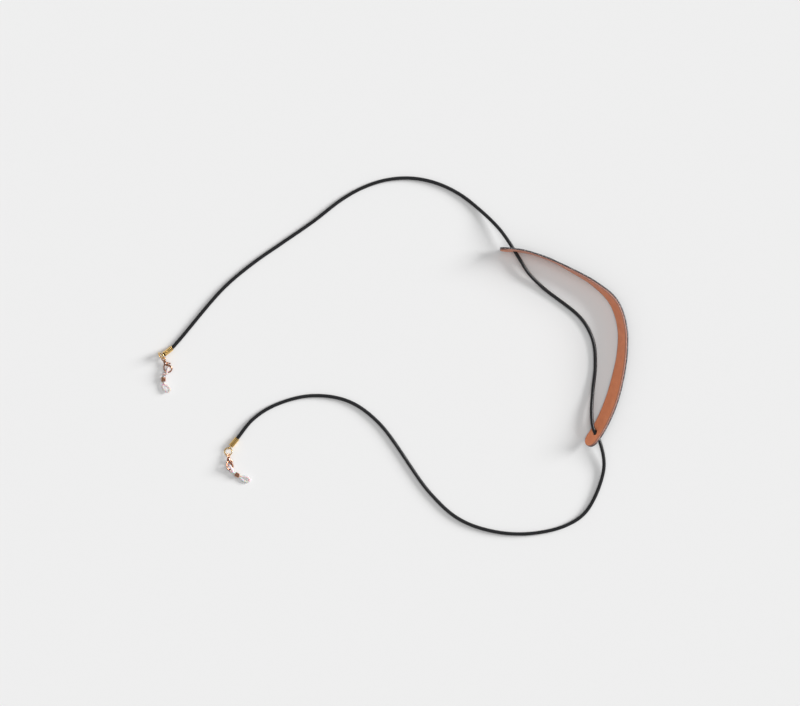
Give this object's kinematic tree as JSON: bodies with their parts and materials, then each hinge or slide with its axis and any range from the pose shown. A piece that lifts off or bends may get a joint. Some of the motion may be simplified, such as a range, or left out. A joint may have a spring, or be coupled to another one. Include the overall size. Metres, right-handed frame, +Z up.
{
  "type": "eyeglass retainer strap",
  "caption": "Neck strap for spectacles: round leather cord through a curved two-ply leather band, with crimped ends, split rings, lobster clasps and silicone temple loops.",
  "frame": {"origin": "bottom centre of everything but the cord, on the surface that the strap lies on", "axes": "+Z up from the surface, +X from the clasps towards the neck band, +Y towards the band's upper end"},
  "size_m": [0.3055, 0.2334, 0.0117],
  "materials": {
    "black_leather": "smooth, slightly waxed",
    "tan_leather": "fine grain, matt",
    "gold": "polished, gold plated",
    "rose_gold": "polished, rose-gold plated",
    "silicone": "translucent, satin",
    "steel": "plain"
  },
  "bodies": {
    "cord_and_crimps": {"leather_cord": "black_leather", "left_crimp": "gold", "right_crimp": "gold"},
    "neck_band": {"band_outer": "black_leather", "band_lining": "tan_leather"},
    "left_ring": {"left_jump_ring": "gold"},
    "left_clasp": {"left_clasp_body": "rose_gold", "left_lever_pin": "steel", "left_lever_spring": "steel"},
    "left_lever": {"left_clasp_lever": "rose_gold"},
    "left_loop": {"left_temple_loop": "silicone"},
    "left_slider": {"left_collar": "rose_gold"},
    "right_ring": {"right_jump_ring": "gold"},
    "right_clasp": {"right_clasp_body": "rose_gold", "right_lever_pin": "steel", "right_lever_spring": "steel"},
    "right_lever": {"right_clasp_lever": "rose_gold"},
    "right_loop": {"right_temple_loop": "silicone"},
    "right_slider": {"right_collar": "rose_gold"}
  },
  "joints": [
    {"name": "band_slide", "type": "slide", "parent": "cord_and_crimps", "child": "neck_band", "axis": [0.4695, -0.8829, 0], "range_m": [-0.0012, 0.0045]},
    {"name": "left_ring_swing", "type": "hinge", "parent": "cord_and_crimps", "child": "left_ring", "pos_m": [-0.15053, 0.00644, 0.00518], "axis": [0.6253, -0.7679, -0.1392], "range_deg": [-60, 40]},
    {"name": "left_clasp_swing", "type": "hinge", "parent": "left_ring", "child": "left_clasp", "pos_m": [-0.15003, 0.00419, 0.00212], "axis": [0.4582, -0.0142, 0.8887], "range_deg": [-60, 60]},
    {"name": "left_lever_press", "type": "hinge", "parent": "left_clasp", "child": "left_lever", "pos_m": [-0.14889, 0.00131, 0.00212], "axis": [0, 0, 1], "range_deg": [0, 12], "stiffness_Nm_per_rad": 0.0002},
    {"name": "left_loop_swing", "type": "hinge", "parent": "left_clasp", "child": "left_loop", "pos_m": [-0.14809, -0.00436, 0.0022], "axis": [-0.9472, 0.3206, 0], "range_deg": [-15, 40]},
    {"name": "left_collar_slide", "type": "slide", "parent": "left_loop", "child": "left_slider", "axis": [0.0013, -0.9959, -0.0906], "range_m": [-0.0006, 0.0012]},
    {"name": "right_ring_swing", "type": "hinge", "parent": "cord_and_crimps", "child": "right_ring", "pos_m": [-0.1072, -0.0536, 0.0017], "axis": [0.8934, -0.2915, 0.3418], "range_deg": [-60, 60]},
    {"name": "right_clasp_swing", "type": "hinge", "parent": "right_ring", "child": "right_clasp", "pos_m": [-0.1079, -0.05846, 0.00201], "axis": [0.9453, 0.0685, 0.3191], "range_deg": [-60, 60]},
    {"name": "right_lever_press", "type": "hinge", "parent": "right_clasp", "child": "right_lever", "pos_m": [-0.10765, -0.06155, 0.00219], "axis": [0.5716, 0.0953, 0.815], "range_deg": [0, 10], "stiffness_Nm_per_rad": 0.0002},
    {"name": "right_loop_swing", "type": "hinge", "parent": "right_clasp", "child": "right_loop", "pos_m": [-0.10638, -0.06755, 0.00208], "axis": [-0.7783, -0.2514, 0.5753], "range_deg": [-45, 10]},
    {"name": "right_collar_slide", "type": "slide", "parent": "right_loop", "child": "right_slider", "axis": [0.8726, -0.4813, -0.0837], "range_m": [-0.0012, 0.0012]}
  ]
}
